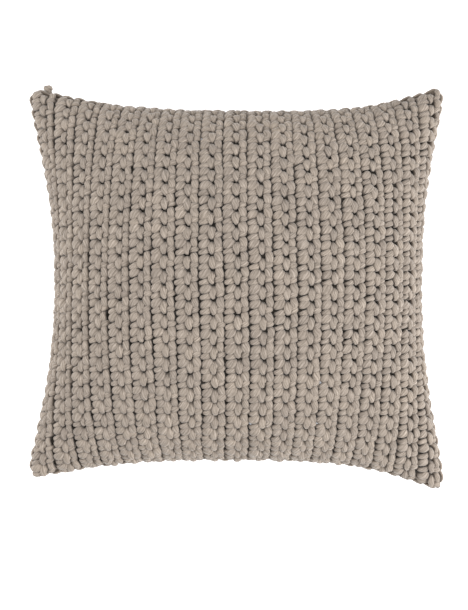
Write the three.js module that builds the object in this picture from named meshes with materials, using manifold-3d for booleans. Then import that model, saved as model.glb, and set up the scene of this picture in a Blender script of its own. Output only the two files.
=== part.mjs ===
// A crocheted throw pillow: a two-panel yarn cover with a zip in its lower seam, around a stuffed insert.
// Millimetres. The pillow lies on its back panel: +Z is up out of the front, +Y its top edge, +X its right.
import * as THREE from "three";
import { mergeVertices } from "three/addons/utils/BufferGeometryUtils.js";
import Module from "manifold-3d";

const manifold = await Module();
manifold.setup();

// Driving dimensions of the filled pillow.
const WIDTH = 445; // between the sides of square corners, along X; rounding takes 3 mm off
const HEIGHT = 426; // and along Y
const BOW = 24; // how far the middle of each side is drawn in from the line of its corners
const SIDE_BOW = { power: 2.4, ease: 1.5 }; // the left and right sides draw in evenly to their middles
const END_BOW = { power: 3, ease: 1.2 }; // the top and bottom edges run straighter
const CORNER_CUT = 3.2; // how far a rounded corner falls short of a square one, along X and along Y
const CORNER_POWER = 28; // a high power keeps the rounding to the last 15 mm
const FRONT_CROWN = 79; // from the seam plane to the highest point of the front
const BACK_CROWN = 78; // from the seam plane to where an unpressed back would reach
const SEAM_Z = 74; // the seam plane; the back is pressed flat against the surface at z = 0

// The yarn cover.
const COVER_THICKNESS = 9; // two layers of bulky yarn
const SEAM_GAP = 7.6; // between the inner edges of the two panels
const EDGE_RISE = 7; // from the seam plane to the outer edge of a panel
const SEAM_YARN = 7; // diameter of the joining chain
const CHAIN_STEPS = 24;
const YARN_SIDES = 8;
const CORNER_GAP = 12; // from a corner tip to the end of a joining chain
const CHAIN_CLEARANCE = 1.75; // from an end of the zip's opening to a joining chain
const KNOT_RADIUS = 4.2; // of the fastened-off yarn end
const KNOT_FLATTENING = 0.75;
const KNOT_SEGMENTS = 14;
const KNOT_CLEARANCE = 0.8; // the edge slants beside it
const KNOT_ALONG = 0.905; // its place along the top edge, from the middle at 0 to the corner at 1
const PANEL_STEPS = 20; // grid of a panel

// The insert.
const CASING_INSET = 15; // from the cover's outline to the casing's outline
const CASING_CLEARANCE = 1; // between the cover's inside and the casing at the crown
const CASING_THICKNESS = 1.2;
const LAYER_GAP = 0.6; // between the casing and the fill, and between the casing's halves
const INSERT_SEAM_INSET = 12.5; // from the cover's outline to the middle of the overlocked edge
const INSERT_SEAM_DIAMETER = 3;
const CLOSING_STITCH_INSET = 10.2;
const CLOSING_STITCH_DIAMETER = 0.9;
const CLOSING_STITCH_LENGTH = 130;
const CLOSING_STITCH_STEPS = 12;
const THREAD_SIDES = 6;
const INSERT_SEAM_STEPS = 36; // along each side
const INSERT_STEPS = 16; // grid of a casing half

// The zip, in the middle of the lower seam.
const ZIP_HALF = 130; // half the length of the opening
const ZIP_INSET = 1.8; // from the middle of the lower edge to the plane of the tapes
const ZIP_OPENING = 11; // between the panel edges along the zip
const TAPE_THICKNESS = 0.6;
const TAPE_WIDTH = 10;
const COIL_GAP = 1; // between the two rows, where the slider's wedge runs
const COIL_WIDTH = 1.5;
const COIL_THICKNESS = 2;
const CHAIN_START = -111;
const CHAIN_END = 115;
const STOP_LENGTH = 2.5;
const GAP = 0.3; // between pieces that touch
const STITCH_THICKNESS = 0.7;
const STITCH_OFFSET = 4.5; // from the middle of the zip to a line of stitches

// The slider and its pull.
const SLIDER_X = 109;
const SLIDER_LENGTH = 9;
const SLIDER_WIDTH = 7.2;
const PLATE_THICKNESS = 1;
const FLANGE_WIDTH = 0.7;
const PLATE_GAP = 1.5; // from the tape's plane to a plate's inner face
const WEDGE_LENGTH = 2.5;
const WEDGE_THICKNESS = 0.5;
const BAIL_LENGTH = 6;
const BAIL_HEIGHT = 2.9;
const BAIL_WIRE = 0.8;
const BAIL_WIDTH = 1.6;
const PULL_LIFT = 1.1; // from the outer plate to the pull's cross bar
const PULL_LENGTH = 23;
const PULL_WIDTH = 4.4;
const PULL_THICKNESS = 1.1;
const PULL_WINDOW = 4.2; // the opening that goes round the bail
const PULL_ARM = 0.9;
const PULL_BAR_SEGMENTS = 16;

const MERGE_DISTANCE = 1e-3; // vertices closer than this are one

const HALF_WIDTH = WIDTH / 2;
const HALF_HEIGHT = HEIGHT / 2;
const ZIP_Y = -(HALF_HEIGHT - BOW) + ZIP_INSET;

const yarn = { color: 0x9b9184, roughness: 0.95, metalness: 0 };
const casingCloth = { color: 0xf0f0ee, roughness: 0.85, metalness: 0 };
const zipTape = { color: 0xa79c8d, roughness: 0.8, metalness: 0 };
const zipPlastic = { color: 0x9a8f80, roughness: 0.45, metalness: 0 };
const sliderMetal = { color: 0xb9b5ad, roughness: 0.35, metalness: 1 };
const thread = { color: 0xcfc8bb, roughness: 0.7, metalness: 0 };
const polyesterFill = { color: 0xfafafa, roughness: 1, metalness: 0 };

const pillow = new THREE.Group();
pillow.name = "throw_pillow";

function addPart(name, geometry, finish) {
  const mesh = new THREE.Mesh(geometry, new THREE.MeshStandardMaterial(finish));
  mesh.name = name;
  pillow.add(mesh);
  return mesh;
}

// ---- The pillow's form ----

// How far a side is drawn in, at a place from -1 to 1 along it.
function drawnIn(along, { power, ease }) {
  return BOW * (1 - Math.abs(along) ** power) ** ease;
}

// u and v run from -1 to 1 across the cloth. The outline is set in from the cover's by inset.
function planPoint(u, v, inset) {
  const cut = CORNER_CUT * Math.abs(u * v) ** CORNER_POWER;
  const x = u * (HALF_WIDTH - inset - cut - drawnIn(v, SIDE_BOW));
  const y = v * (HALF_HEIGHT - inset - cut - drawnIn(u, END_BOW));
  return [x, y];
}

// Rounded across both ways, falling to nothing along the outline.
function fullness(u, v) {
  return Math.sqrt(Math.max(0, (1 - u * u) * (1 - v * v)));
}

// A layer's height over the seam plane. The back is pressed flat at floorZ.
function layerPoint(u, v, layer) {
  const [x, y] = planPoint(u, v, layer.inset);
  const rise = layer.rim + (layer.crown - layer.rim) * fullness(u, v);
  const z = layer.back ? Math.max(layer.floorZ, SEAM_Z - rise) : SEAM_Z + rise;
  return new THREE.Vector3(x, y, z);
}

// Grid lines crowd towards the outline, where the form turns fastest.
function gridValue(i, steps) {
  return Math.sin((Math.PI / 2) * ((2 * i) / steps - 1));
}

function addGrid(positions, steps, layer, outward) {
  const corner = (i, j) => layerPoint(gridValue(i, steps), gridValue(j, steps), layer);
  for (let i = 0; i < steps; i++) {
    for (let j = 0; j < steps; j++) {
      const a = corner(i, j);
      const b = corner(i + 1, j);
      const c = corner(i + 1, j + 1);
      const d = corner(i, j + 1);
      addQuad(positions, a, b, c, d, outward);
    }
  }
}

function addQuad(positions, a, b, c, d, outward) {
  const triangles = outward ? [a, b, c, a, c, d] : [a, c, b, a, d, c];
  for (const point of triangles) positions.push(point.x, point.y, point.z);
}

// The strip that joins two layers round their outlines.
function addRim(positions, steps, first, second, outward) {
  const outline = [];
  for (let i = 0; i < steps; i++) outline.push([gridValue(i, steps), -1]);
  for (let i = 0; i < steps; i++) outline.push([1, gridValue(i, steps)]);
  for (let i = steps; i > 0; i--) outline.push([gridValue(i, steps), 1]);
  for (let i = steps; i > 0; i--) outline.push([-1, gridValue(i, steps)]);
  for (let i = 0; i < outline.length; i++) {
    const [u0, v0] = outline[i];
    const [u1, v1] = outline[(i + 1) % outline.length];
    const a = layerPoint(u0, v0, first);
    const b = layerPoint(u1, v1, first);
    const c = layerPoint(u1, v1, second);
    const d = layerPoint(u0, v0, second);
    addQuad(positions, a, b, c, d, outward);
  }
}

function geometryFrom(positions) {
  const geometry = new THREE.BufferGeometry();
  geometry.setAttribute("position", new THREE.Float32BufferAttribute(positions, 3));
  return mergeVertices(geometry, MERGE_DISTANCE);
}

// A half of the cover or casing: an outer and an inner layer joined round the rim.
function shellGeometry(steps, back, outer, inner) {
  const positions = [];
  addGrid(positions, steps, outer, !back);
  addGrid(positions, steps, inner, back);
  addRim(positions, steps, outer, inner, back);
  return geometryFrom(positions);
}

function layerOf(back, inset, depth, rim) {
  const crown = (back ? BACK_CROWN : FRONT_CROWN) - depth;
  return { back, inset, crown, rim, floorZ: depth };
}

// ---- Solids joined and cut ----

function toSolid(geometry) {
  const bare = geometry.clone();
  bare.deleteAttribute("normal");
  bare.deleteAttribute("uv");
  const merged = mergeVertices(bare, MERGE_DISTANCE);
  const vertProperties = new Float32Array(merged.attributes.position.array);
  const triVerts = new Uint32Array(merged.index.array);
  return new manifold.Manifold(new manifold.Mesh({ numProp: 3, vertProperties, triVerts }));
}

function fromSolid(solid) {
  const mesh = solid.getMesh();
  const geometry = new THREE.BufferGeometry();
  geometry.setAttribute("position", new THREE.BufferAttribute(mesh.vertProperties, 3));
  geometry.setIndex(new THREE.BufferAttribute(mesh.triVerts, 1));
  return geometry;
}

// A box between two corners.
function boxBetween([x0, y0, z0], [x1, y1, z1]) {
  const box = new THREE.BoxGeometry(x1 - x0, y1 - y0, z1 - z0);
  return box.translate((x0 + x1) / 2, (y0 + y1) / 2, (z0 + z1) / 2);
}

function joined(geometries) {
  return fromSolid(geometries.map(toSolid).reduce((whole, piece) => whole.add(piece)));
}

// ---- The cover ----

function zipCutters(side) {
  const openingEdge = SEAM_Z + (side * ZIP_OPENING) / 2;
  const slotEnd = SEAM_Z + side * (COIL_GAP / 2 + COIL_WIDTH + GAP + TAPE_WIDTH + GAP);
  const slotDepth = TAPE_THICKNESS / 2 + GAP;
  const [openLow, openHigh] = [SEAM_Z, openingEdge].sort((a, b) => a - b);
  const [slotLow, slotHigh] = [SEAM_Z, slotEnd].sort((a, b) => a - b);
  const reach = COVER_THICKNESS + BOW;
  return [
    boxBetween([-ZIP_HALF, ZIP_Y - reach, openLow], [ZIP_HALF, ZIP_Y + reach, openHigh]),
    boxBetween([-ZIP_HALF, ZIP_Y - slotDepth, slotLow], [ZIP_HALF, ZIP_Y + slotDepth, slotHigh]),
  ];
}

function addPanel(name, side) {
  const back = side < 0;
  const outer = layerOf(back, 0, 0, EDGE_RISE);
  const inner = layerOf(back, COVER_THICKNESS, COVER_THICKNESS, SEAM_GAP / 2);
  let solid = toSolid(shellGeometry(PANEL_STEPS, back, outer, inner));
  for (const cutter of zipCutters(side)) solid = solid.subtract(toSolid(cutter));
  addPart(name, fromSolid(solid), yarn);
}

// A round yarn or thread along a line.
function tube(points, diameter, steps, sides) {
  const section = new THREE.Shape();
  for (let i = 0; i < sides; i++) {
    const angle = (2 * Math.PI * i) / sides;
    const [x, y] = [(Math.cos(angle) * diameter) / 2, (Math.sin(angle) * diameter) / 2];
    if (i === 0) section.moveTo(x, y);
    else section.lineTo(x, y);
  }
  section.closePath();
  const path = new THREE.CatmullRomCurve3(points);
  return new THREE.ExtrudeGeometry(section, { steps, extrudePath: path, bevelEnabled: false });
}

// Points along one side of the outline, in the seam plane. along runs from -1 to 1.
function edgeLine(edge, inset, from, to, steps) {
  const points = [];
  for (let i = 0; i <= steps; i++) {
    const along = from + ((to - from) * i) / steps;
    const [u, v] = { left: [-1, along], right: [1, along], top: [along, 1], bottom: [along, -1] }[edge];
    const [x, y] = planPoint(u, v, inset);
    points.push(new THREE.Vector3(x, y, SEAM_Z));
  }
  return points;
}

function addJoiningChain(name, edge, from, to) {
  const line = edgeLine(edge, COVER_THICKNESS / 2, from, to, CHAIN_STEPS);
  addPart(name, tube(line, SEAM_YARN, CHAIN_STEPS, YARN_SIDES), yarn);
}

function addJoiningChains() {
  const end = 1 - CORNER_GAP / HALF_HEIGHT;
  const zipEnd = (ZIP_HALF + CHAIN_CLEARANCE) / (HALF_WIDTH - COVER_THICKNESS / 2);
  addJoiningChain("seam_chain_left", "left", -end, end);
  addJoiningChain("seam_chain_right", "right", -end, end);
  addJoiningChain("seam_chain_top", "top", -end, end);
  addJoiningChain("seam_chain_bottom_left", "bottom", -end, -zipEnd);
  addJoiningChain("seam_chain_bottom_right", "bottom", zipEnd, end);
}

// The fastened-off yarn end, a small knot on the top edge by the left corner.
function addYarnKnot() {
  const knot = new THREE.SphereGeometry(KNOT_RADIUS, KNOT_SEGMENTS, KNOT_SEGMENTS);
  const [x, y] = planPoint(-KNOT_ALONG, 1, 0);
  const lift = KNOT_RADIUS * KNOT_FLATTENING + KNOT_CLEARANCE;
  addPart("yarn_end_knot", knot.scale(1, KNOT_FLATTENING, 1), yarn).position.set(x, y + lift, SEAM_Z);
}

// ---- The insert ----

function addCasing(name, back) {
  const depth = COVER_THICKNESS + CASING_CLEARANCE;
  const outer = layerOf(back, CASING_INSET, depth, LAYER_GAP / 2);
  const inner = layerOf(back, CASING_INSET + CASING_THICKNESS, depth + CASING_THICKNESS, LAYER_GAP / 2);
  addPart(name, shellGeometry(INSERT_STEPS, back, outer, inner), casingCloth);
}

function addFill() {
  const inset = CASING_INSET + CASING_THICKNESS + LAYER_GAP;
  const depth = COVER_THICKNESS + CASING_CLEARANCE + CASING_THICKNESS + LAYER_GAP;
  const positions = [];
  addGrid(positions, INSERT_STEPS, layerOf(false, inset, depth, 0), true);
  addGrid(positions, INSERT_STEPS, layerOf(true, inset, depth, 0), false);
  addPart("insert_fill", geometryFrom(positions), polyesterFill);
}

// The overlocked edge runs all the way round, so it is a ring: a closed line swept by its section.
function addInsertSeam() {
  const line = [];
  for (const [edge, from, to] of [["bottom", -1, 1], ["right", -1, 1], ["top", 1, -1], ["left", 1, -1]]) {
    line.push(...edgeLine(edge, INSERT_SEAM_INSET, from, to, INSERT_SEAM_STEPS).slice(0, -1));
  }
  const positions = [];
  const section = (k, side) => {
    const before = line[(k + line.length - 1) % line.length];
    const after = line[(k + 1) % line.length];
    const travel = new THREE.Vector3().subVectors(after, before).normalize();
    const across = new THREE.Vector3(travel.y, -travel.x, 0);
    const angle = (2 * Math.PI * side) / THREAD_SIDES;
    const radius = INSERT_SEAM_DIAMETER / 2;
    const offset = across.multiplyScalar(Math.cos(angle) * radius).setZ(Math.sin(angle) * radius);
    return line[k % line.length].clone().add(offset);
  };
  for (let k = 0; k < line.length; k++) {
    const next = (k + 1) % line.length;
    for (let side = 0; side < THREAD_SIDES; side++) {
      const [near, far] = [side, side + 1];
      addQuad(positions, section(k, near), section(next, near), section(next, far), section(k, far), true);
    }
  }
  addPart("insert_overlocked_edge", geometryFrom(positions), thread);
}

function addClosingStitch() {
  const reach = CLOSING_STITCH_LENGTH / WIDTH;
  const line = edgeLine("top", CLOSING_STITCH_INSET, -reach, reach, CLOSING_STITCH_STEPS);
  const stitch = tube(line, CLOSING_STITCH_DIAMETER, CLOSING_STITCH_STEPS, THREAD_SIDES);
  addPart("insert_closing_stitch", stitch, thread);
}

// ---- The zip ----

// A bar along the zip. Its z span is measured from the middle of the zip towards the front or the back.
function zipBar(side, [x0, x1], [y0, y1], [near, far]) {
  const [low, high] = [SEAM_Z + side * near, SEAM_Z + side * far].sort((a, b) => a - b);
  return boxBetween([x0, ZIP_Y + y0, low], [x1, ZIP_Y + y1, high]);
}

function addZipHalf(name, side) {
  const coilFrom = COIL_GAP / 2;
  const coilTo = coilFrom + COIL_WIDTH;
  const tapeFrom = coilTo + GAP;
  const chain = [CHAIN_START, CHAIN_END];
  const halfCoil = COIL_THICKNESS / 2;
  const halfTape = TAPE_THICKNESS / 2;
  const tapeEnds = [-ZIP_HALF + GAP, ZIP_HALF - GAP];
  const tape = zipBar(side, tapeEnds, [-halfTape, halfTape], [tapeFrom, tapeFrom + TAPE_WIDTH]);
  addPart(`zip_tape_${name}`, tape, zipTape);
  addPart(`zip_coil_${name}`, zipBar(side, chain, [-halfCoil, halfCoil], [coilFrom, coilTo]), zipPlastic);
  const stop = [CHAIN_END + GAP, CHAIN_END + GAP + STOP_LENGTH];
  addPart(`zip_top_stop_${name}`, zipBar(side, stop, [-halfCoil, halfCoil], [coilFrom, coilTo]), sliderMetal);
  const threadDepth = [-halfTape - GAP - STITCH_THICKNESS, -halfTape - GAP];
  const threadSpan = [STITCH_OFFSET - STITCH_THICKNESS / 2, STITCH_OFFSET + STITCH_THICKNESS / 2];
  addPart(`zip_stitching_${name}`, zipBar(side, tapeEnds, threadDepth, threadSpan), thread);
}

function addBottomStop() {
  const reach = COIL_GAP / 2 + COIL_WIDTH;
  const halfCoil = COIL_THICKNESS / 2;
  const x = CHAIN_START - GAP;
  const corners = [
    [x - STOP_LENGTH, ZIP_Y - halfCoil, SEAM_Z - reach],
    [x, ZIP_Y + halfCoil, SEAM_Z + reach],
  ];
  addPart("zip_bottom_stop", boxBetween(...corners), sliderMetal);
}

// Two plates round the coils, joined by the wedge between the rows, with a bail for the pull.
function addSlider() {
  const x0 = SLIDER_X - SLIDER_LENGTH / 2;
  const x1 = SLIDER_X + SLIDER_LENGTH / 2;
  const halfWidth = SLIDER_WIDTH / 2;
  const flangeEnd = TAPE_THICKNESS / 2 + GAP;
  const pieces = [];
  for (const face of [-1, 1]) {
    const spanY = (a, b) => [face * a, face * b].sort((p, q) => p - q);
    const plate = spanY(PLATE_GAP, PLATE_GAP + PLATE_THICKNESS);
    const flange = spanY(flangeEnd, PLATE_GAP + PLATE_THICKNESS / 2);
    pieces.push(zipBar(1, [x0, x1], plate, [-halfWidth, halfWidth]));
    for (const side of [-1, 1]) {
      pieces.push(zipBar(side, [x0, x1], flange, [halfWidth - FLANGE_WIDTH, halfWidth]));
    }
  }
  const through = PLATE_GAP + PLATE_THICKNESS / 2;
  const halfWedge = WEDGE_THICKNESS / 2;
  pieces.push(zipBar(1, [x1 - WEDGE_LENGTH, x1], [-through, through], [-halfWedge, halfWedge]));
  pieces.push(...bailPieces());
  addPart("zip_slider", joined(pieces), sliderMetal);
}

function bailPieces() {
  const outer = -(PLATE_GAP + PLATE_THICKNESS);
  const rooted = outer + PLATE_THICKNESS / 2;
  const half = BAIL_LENGTH / 2;
  const top = outer - BAIL_HEIGHT;
  const width = [-BAIL_WIDTH / 2, BAIL_WIDTH / 2];
  return [
    zipBar(1, [SLIDER_X - half, SLIDER_X - half + BAIL_WIRE], [top, rooted], width),
    zipBar(1, [SLIDER_X + half - BAIL_WIRE, SLIDER_X + half], [top, rooted], width),
    zipBar(1, [SLIDER_X - half, SLIDER_X + half], [top, top + BAIL_WIRE], width),
  ];
}

// The pull lies back along the chain. Its cross bar turns inside the bail, about an axis along Z.
function addPull() {
  const barY = -(PLATE_GAP + PLATE_THICKNESS + PULL_LIFT);
  const halfWidth = PULL_WIDTH / 2;
  const halfThickness = PULL_THICKNESS / 2;
  const bar = new THREE.CylinderGeometry(halfThickness, halfThickness, PULL_WIDTH, PULL_BAR_SEGMENTS);
  bar.rotateX(Math.PI / 2).translate(SLIDER_X, ZIP_Y + barY, SEAM_Z);
  const thick = [barY - halfThickness, barY + halfThickness];
  const windowEnd = SLIDER_X - PULL_WINDOW;
  const pieces = [bar, zipBar(1, [SLIDER_X - PULL_LENGTH, windowEnd], thick, [-halfWidth, halfWidth])];
  for (const side of [-1, 1]) {
    pieces.push(zipBar(side, [windowEnd - PULL_ARM, SLIDER_X], thick, [halfWidth - PULL_ARM, halfWidth]));
  }
  addPart("zip_pull", joined(pieces), sliderMetal);
}

addPanel("cover_front_panel", 1);
addPanel("cover_back_panel", -1);
addJoiningChains();
addYarnKnot();
addCasing("insert_casing_front", false);
addCasing("insert_casing_back", true);
addInsertSeam();
addClosingStitch();
addFill();
addZipHalf("front", 1);
addZipHalf("back", -1);
addBottomStop();
addSlider();
addPull();

export default pillow;
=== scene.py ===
"""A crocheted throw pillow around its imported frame: yarn cover, zip in the lower seam, stuffed insert."""
import math

import bpy
import numpy as np
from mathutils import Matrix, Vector


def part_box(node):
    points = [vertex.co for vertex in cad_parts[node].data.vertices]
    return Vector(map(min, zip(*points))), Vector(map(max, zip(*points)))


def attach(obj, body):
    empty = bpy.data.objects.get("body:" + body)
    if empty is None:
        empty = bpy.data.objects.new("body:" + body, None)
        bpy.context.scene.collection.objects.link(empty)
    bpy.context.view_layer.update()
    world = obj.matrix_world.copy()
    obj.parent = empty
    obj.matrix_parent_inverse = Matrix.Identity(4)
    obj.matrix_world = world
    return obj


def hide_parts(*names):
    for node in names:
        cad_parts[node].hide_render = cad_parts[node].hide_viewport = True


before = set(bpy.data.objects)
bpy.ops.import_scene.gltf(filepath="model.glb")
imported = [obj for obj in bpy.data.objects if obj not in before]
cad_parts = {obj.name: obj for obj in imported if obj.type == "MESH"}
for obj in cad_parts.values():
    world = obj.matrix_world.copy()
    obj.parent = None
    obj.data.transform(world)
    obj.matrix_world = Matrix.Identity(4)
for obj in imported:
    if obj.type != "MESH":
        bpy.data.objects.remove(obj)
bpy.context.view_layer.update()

SEED = 7
PILLOW = "pillow"
MM = 0.001

# ---- The filled form, in metres, from the CAD panels ----
FRONT_LOW, FRONT_HIGH = (np.array(c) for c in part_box("cover_front_panel"))
BACK_LOW, BACK_HIGH = (np.array(c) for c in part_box("cover_back_panel"))
FLOOR_Z = BACK_LOW[2]
ROUNDING_LOSS = np.array([0.0017, 0.0027])  # how far rounded corners fall short of square ones
HALF_WIDTH, HALF_HEIGHT = (FRONT_HIGH - FRONT_LOW)[:2] / 2 + ROUNDING_LOSS
SEAM_Z = (FRONT_LOW[2] + BACK_HIGH[2]) / 2
FRONT_CROWN = FRONT_HIGH[2] - SEAM_Z
BACK_CROWN = 0.078  # where an unpressed back would reach
EDGE_RISE = 0.007  # from the seam plane to a panel's outer edge
BOW = 0.024  # how far the middle of a side is drawn in
SIDE_BOW = (2.4, 1.5)  # power and ease of the curve along the left and right sides
END_BOW = (3.0, 1.2)  # and along the top and bottom edges
CORNER_CUT = 0.0032  # rounding of the corners
CORNER_POWER = 28
# Hand-made unevenness: how far each corner, named by its signs of X and Y, is moved along Y.
CORNER_SHIFT = {(-1, 1): -0.004, (1, 1): -0.001, (-1, -1): 0.005, (1, -1): -0.010}
CORNER_REACH = 8  # a high power keeps the shift near the corner
LEFT_DRAW = 0.004  # how much further the left side is drawn in than the right one
TOP_DRAW = 0.0045  # and the top edge than the bottom one
TOP_LEAN = 0.6  # how much more of that is towards the right
RIPPLE = 0.0015  # height of the waves that the soft filling leaves
TOP_FLATNESS = 6  # a high power keeps the top edge straight up to its corners

# ---- The crochet ----
CLOTH_WIDTH = 0.457  # assumed: an 18 in cover laid flat
RIBS = 19  # 17 and the foreshortened column at each side, taken as a whole rib
RIB_WIDTH = CLOTH_WIDTH / RIBS  # on average
MIDDLE_STRETCH = 0.056  # how much wider than the average the middle ribs are; the outer ones are narrower
CORNER_DRAW = 0.27  # how much the columns between the middle and a corner are drawn in
OUTER_NARROWING = 3 * MIDDLE_STRETCH / (1 + MIDDLE_STRETCH)  # of the outermost ribs against the middle ones
STITCHES = 28  # along a rib
STITCH_LENGTH = 0.0155
STRANDS = 10  # round one yarn
STRAND_GROOVE = 0.075  # depth of the groove between strands, as a share of the yarn's radius
STRAND_PITCH = 0.045  # length of one turn of the yarn's twist
STRAND_UNIT = 0.01  # length of yarn in one unit of the strand attribute's last number
THREAD_PITCH = 0.004  # length of one turn of a sewing thread's twist
SECTION_POWER = 0.8  # below 1 the yarn's section is squarer than an ellipse, as pressed yarn is
SLIDER_CLEARANCE = 0.0008  # between the zip's slider and the yarn beside its path
BACKING_DEPTH = 0.0078  # from the cloth's outer face to the backing
BACKING_THICKNESS = 0.001
BACKING_POINTS = 97  # each way
# Loose stitches where the insert shows through, as rib and stitch of the front.
LOOSE_STITCHES = ((10, 23), (13, 20), (13, 23), (8, 3))

# Hand-made unevenness of the stitches, as standard deviations.
PHASE_STEP = 0.05  # from one rib's shift along itself to the next one's, in stitches
ACROSS_JITTER = (0.018, 0.009)  # of a whole loop and of each of its points, in ribs
DOWN_JITTER = (0.024, 0.011)  # the same down the rib, in stitches
HEIGHT_JITTER = 0.0003
SIZE_JITTER = 0.065
STITCH_SHADE_JITTER = 0.10
LOOP_SHADE_JITTER = 0.13
# Sideways waves of the ribs: size in ribs, then the radians that they turn in a stitch and in a rib.
DRIFTS = ((0.06, 0.24, 0.35), (0.012, 0.9, 1.7))

GRID = 241  # points each way in a surface map
RIM_LINES = 3  # grid lines by the rim that take their directions from the next line in
CURVE_SAMPLES = 721  # along half an ellipse


# ---- Form ----

def drawn_in(along, curve):
    """How far a side is drawn in, at a place from -1 to 1 along it."""
    power, ease = curve
    return BOW * (1 - np.minimum(np.abs(along), 1) ** power) ** ease


def plan(u, v, inset=0.0):
    """A place in the pillow's plan. u and v run from -1 to 1 between the sides."""
    cut = CORNER_CUT * np.minimum(np.abs(u * v), 1) ** CORNER_POWER
    x = u * (HALF_WIDTH - inset - cut - drawn_in(v, SIDE_BOW))
    y = v * (HALF_HEIGHT - inset - cut - drawn_in(u, END_BOW))
    x = x + LEFT_DRAW * (1 - v * v) ** 2 * ((1 - u) / 2) ** CORNER_REACH
    top = ((1 + v) / 2) ** CORNER_REACH
    y = y - TOP_DRAW * (1 + TOP_LEAN * u) * (1 - np.minimum(np.abs(u), 1) ** TOP_FLATNESS) * top
    for (side_x, side_y), shift in CORNER_SHIFT.items():
        y = y + shift * ((1 + side_x * u) * (1 + side_y * v) / 4) ** CORNER_REACH
    return x, y


def even_places(half, rise, count):
    """Places from -1 to 1 across half an ellipse, at equal steps of its length."""
    angle = np.linspace(-math.pi / 2, math.pi / 2, CURVE_SAMPLES)
    step = np.hypot(half * np.cos(angle), rise * np.sin(angle))
    length = np.concatenate([[0], np.cumsum((step[1:] + step[:-1]) / 2)])
    return np.sin(np.interp(np.linspace(0, length[-1], count), length, angle))


def soft_floor(z, floor, blend=0.006):
    """z kept above floor, with a rounded turn."""
    lift = z - floor
    return floor + 0.5 * (lift + np.sqrt(lift * lift + blend * blend))


def unit(vectors):
    return vectors / np.maximum(np.linalg.norm(vectors, axis=-1, keepdims=True), 1e-12)


def ripples(u, v):
    """Low, wide waves from -1 to 1, for the unevenness of a soft filling."""
    waves = [(2.1, 1.3, 0.4), (-1.7, 2.9, 2.2), (3.4, -0.8, 4.1), (1.1, 3.7, 5.3)]
    return sum(np.sin(a * u * 2 + b * v * 2 + phase) for a, b, phase in waves) / len(waves)


class Surface:
    """A smooth face of the pillow as a map from flat cloth. across and up run from -1 to 1.
    Seen from outside, across runs to the right and up to the pillow's top edge."""

    def __init__(self, back=False, inset=0.0, depth=0.0, rim=EDGE_RISE, ripple=0.0, count=GRID):
        self.count = count
        self.side = -1 if back else 1
        crown = (BACK_CROWN if back else FRONT_CROWN) - depth
        middle_u = even_places(HALF_WIDTH - BOW, FRONT_CROWN, count)
        middle_v = even_places(HALF_HEIGHT - BOW, FRONT_CROWN, count)
        # The cloth doesn't stretch, so it lies flat and even along the edges and turns over in the middle.
        u = np.stack([even_places(HALF_WIDTH - drawn_in(v, SIDE_BOW), crown * math.sqrt(1 - v * v), count)
                      for v in middle_v], axis=1)
        v = np.stack([even_places(HALF_HEIGHT - drawn_in(u, END_BOW), crown * math.sqrt(1 - u * u), count)
                      for u in middle_u], axis=0)
        full = np.sqrt(np.maximum(0, (1 - u * u) * (1 - v * v)))
        rise = rim + (crown - rim) * full + ripple * full * ripples(u, v)
        x, y = plan(-u if back else u, v, inset)
        z = soft_floor(SEAM_Z - rise, FLOOR_Z + depth) if back else SEAM_Z + rise
        self.point = np.stack([x, y, z], axis=-1)
        along = np.gradient(self.point, axis=0)
        above = np.gradient(self.point, axis=1)
        out = unit(np.cross(along, above))
        inner = np.clip(np.arange(count), RIM_LINES, count - 1 - RIM_LINES)
        self.out = out[inner][:, inner]
        self.right = unit(along)[inner][:, inner]

    def sample(self, grid, across, up):
        """Values of a grid between its points, straight between neighbours and carried on past its edge."""
        last = self.count - 1
        i = (across + 1) / 2 * last
        j = (up + 1) / 2 * last
        i0 = np.clip(np.floor(i).astype(int), 0, last - 1)
        j0 = np.clip(np.floor(j).astype(int), 0, last - 1)
        fi = (i - i0)[..., None]
        fj = (j - j0)[..., None]
        low = grid[i0, j0] * (1 - fi) + grid[i0 + 1, j0] * fi
        high = grid[i0, j0 + 1] * (1 - fi) + grid[i0 + 1, j0 + 1] * fi
        return low * (1 - fj) + high * fj

    def at(self, across, up):
        """The point, and the unit vectors to the right, up and out, at places on the cloth."""
        point = self.sample(self.point, across, up)
        out = unit(self.sample(self.out, across, up))
        right = self.sample(self.right, across, up)
        right = unit(right - out * np.sum(right * out, axis=-1, keepdims=True))
        return point, right, np.cross(out, right), out


def edge_line(edge, inset, start, end, count, z=SEAM_Z):
    """Points along one side of the outline, with the unit vectors of travel and outward."""
    along = np.linspace(start, end, count)
    side = np.ones(count)
    places = {"left": (-side, along), "right": (side, along), "top": (along, side), "bottom": (along, -side)}
    u, v = places[edge]
    x, y = plan(u, v, inset)
    points = np.stack([x, y, np.full(count, z)], axis=-1)
    travel = unit(np.gradient(points, axis=0))
    turned = np.stack([travel[:, 1], -travel[:, 0], np.zeros(count)], axis=-1)
    facing = np.sign(np.sum(turned * np.stack([x, y, 0 * x], axis=-1), axis=-1, keepdims=True))
    return points, travel, turned * facing


# ---- Meshes from arrays ----

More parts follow.
